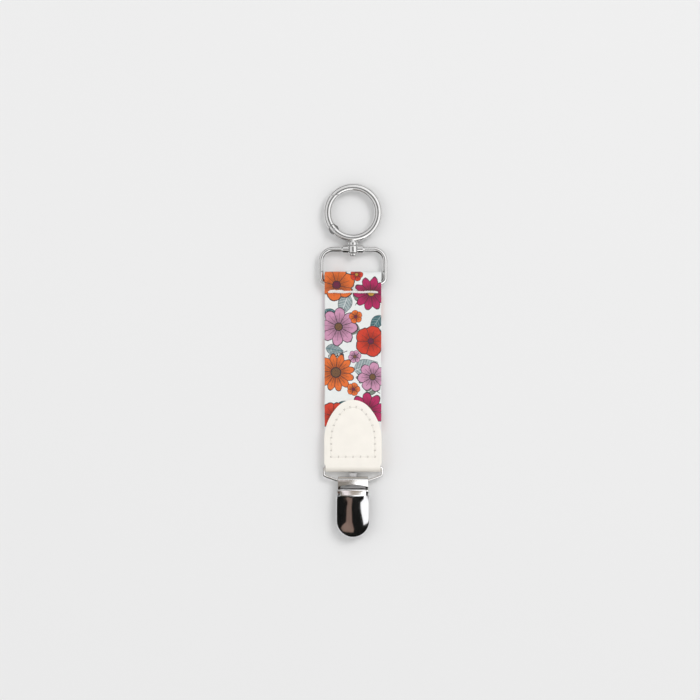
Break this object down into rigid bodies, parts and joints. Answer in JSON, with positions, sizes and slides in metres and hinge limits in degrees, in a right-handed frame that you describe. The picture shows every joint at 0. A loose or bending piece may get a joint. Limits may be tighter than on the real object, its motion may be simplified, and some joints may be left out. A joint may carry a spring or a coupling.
{
  "type": "key strap with snap ring and clip",
  "caption": "Short key strap: swivelling snap ring on a strap loop, folded fabric strap, stitched leather tab, and a flip-lever clip on a wire bail.",
  "frame": {"origin": "middle of the part's length and width, on the back face it lies on", "axes": "+Y along the strap from the clip to the ring, +Z out of the front face, +X across the strap to the right"},
  "size_m": [0.0306, 0.1556, 0.0066],
  "materials": {
    "plated_metal": "bright nickel plating",
    "plain_steel": "plain",
    "printed_cotton": "printed floral on white",
    "webbing": "woven",
    "white_thread": "twisted",
    "cream_leather": "smooth",
    "cream_thread": "twisted",
    "pad_plastic": "matte"
  },
  "bodies": {
    "strap": {"strap_sleeve": "printed_cotton", "strap_core": "webbing", "strap_needle_thread": "white_thread", "strap_bobbin_thread": "white_thread", "leather_tab": "cream_leather", "tab_needle_thread": "cream_thread", "tab_bobbin_thread": "cream_thread"},
    "loop": {"strap_loop": "plated_metal"},
    "ring": {"ring_body": "plated_metal", "gate_hinge_pin": "plain_steel", "gate_spring": "plain_steel", "swivel_rivet": "plated_metal"},
    "gate": {"ring_gate": "plated_metal"},
    "bail": {"clip_bail": "plated_metal"},
    "clip": {"clip_frame": "plated_metal", "frame_pad": "pad_plastic", "lever_pin": "plain_steel"},
    "lever": {"clip_lever": "plated_metal"},
    "jaw": {"jaw_plate": "plain_steel", "jaw_pad": "pad_plastic"}
  },
  "joints": [
    {"name": "loop_swing", "type": "hinge", "parent": "strap", "child": "loop", "pos_m": [0, 0.03399, 0.0026], "axis": [1, 0, 0], "range_deg": [-120, 120]},
    {"name": "ring_swivel", "type": "hinge", "parent": "loop", "child": "ring", "pos_m": [0, 0.04869, 0.0026], "axis": [0, 1, 0], "continuous": true},
    {"name": "gate_open", "type": "hinge", "parent": "ring", "child": "gate", "pos_m": [-0.00829, 0.05735, 0.0026], "axis": [0, 0, -1], "range_deg": [0, 25], "stiffness_Nm_per_rad": 0.004, "springref_deg": -20.05, "deforming": ["gate_spring"]},
    {"name": "bail_swing", "type": "hinge", "parent": "strap", "child": "bail", "pos_m": [0, -0.04701, 0.00235], "axis": [1, 0, 0], "range_deg": [-90, 90]},
    {"name": "clip_swing", "type": "hinge", "parent": "bail", "child": "clip", "pos_m": [0, -0.05281, 0.00235], "axis": [1, 0, 0], "range_deg": [-60, 60]},
    {"name": "lever_flip", "type": "hinge", "parent": "clip", "child": "lever", "pos_m": [0, -0.05761, 0.00395], "axis": [-1, 0, 0], "range_deg": [0, 95]},
    {"name": "jaw_open", "type": "hinge", "parent": "clip", "child": "jaw", "pos_m": [0, -0.05181, 0.00122], "axis": [-1, 0, 0], "range_deg": [0, 7.1]}
  ],
  "couplings": [
    {"joint": "jaw_open", "follows": "lever_flip", "ratio": 0.0737}
  ]
}
